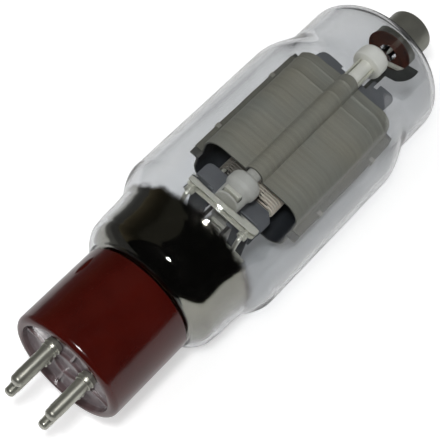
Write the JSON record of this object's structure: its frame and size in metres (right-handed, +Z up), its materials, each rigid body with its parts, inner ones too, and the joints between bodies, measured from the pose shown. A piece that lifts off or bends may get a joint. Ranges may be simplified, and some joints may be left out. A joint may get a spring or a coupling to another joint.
{
  "type": "vacuum tube",
  "caption": "Glass power triode vacuum tube with a stepped bulb, a moulded bayonet pin base, a top cap and a grey pressed anode held by white ceramic insulators.",
  "frame": {"origin": "centre of the box on the ground plane: the tube lies on its side on the straight part of its bulb", "axes": "+X along the tube from the pins to the top cap, +Z up as it lies, the front of the anode looks up and towards -Y"},
  "size_m": [0.1658, 0.0522, 0.0522],
  "materials": {
    "phenolic": "moulded, dark red-brown, glossy",
    "glass": "clear",
    "pin_metal": "nickel plated, dull",
    "nickel": "drawn or rolled nickel",
    "anode_grey": "matt warm grey with fine cross striations",
    "ceramic": "matt white",
    "dark_plate": "matt slate grey",
    "tungsten": "drawn wire",
    "gold_wire": "plated wire",
    "cement": "dry tan cement",
    "cap_cement": "dark red-brown cement"
  },
  "bodies": {
    "root": {"base_shell": "phenolic", "base_cement": "cement", "filament_pin_left": "pin_metal", "filament_pin_right": "pin_metal", "grid_pin": "pin_metal", "spare_pin": "pin_metal", "lead_filament_pin_left": "nickel", "lead_filament_pin_right": "nickel", "lead_grid_pin": "nickel", "glass_envelope": "glass", "glass_stem": "glass", "exhaust_tube": "glass", "mount_rod_front_left": "nickel", "mount_rod_front_right": "nickel", "mount_rod_rear_left": "nickel", "mount_rod_rear_right": "nickel", "filament_lead_left": "tungsten", "filament_lead_right": "tungsten", "rod_tie_left": "nickel", "rod_tie_right": "nickel", "crossbar_front": "nickel", "crossbar_rear": "nickel", "lower_insulator_front": "ceramic", "lower_insulator_rear": "ceramic", "insulator_key_front": "nickel", "insulator_key_rear": "nickel", "upper_insulator_front": "ceramic", "upper_insulator_rear": "ceramic", "spigot_sleeve_front": "nickel", "spigot_sleeve_rear": "nickel", "anode_front": "anode_grey", "anode_rear": "anode_grey", "flange_clip_lower_left": "nickel", "flange_clip_upper_left": "nickel", "flange_clip_lower_right": "nickel", "flange_clip_upper_right": "nickel", "grid_winding": "gold_wire", "grid_rod_left": "nickel", "grid_rod_right": "nickel", "grid_radiator_left": "dark_plate", "grid_radiator_right": "dark_plate", "filament": "tungsten", "filament_hook_left": "nickel", "filament_hook_right": "nickel", "grid_bridge": "dark_plate", "anode_tab": "dark_plate", "anode_strap": "dark_plate", "anode_lead": "nickel", "getter_ring": "nickel", "getter_strut": "nickel", "cap_cement": "cap_cement", "top_cap": "pin_metal"}
  },
  "joints": []
}
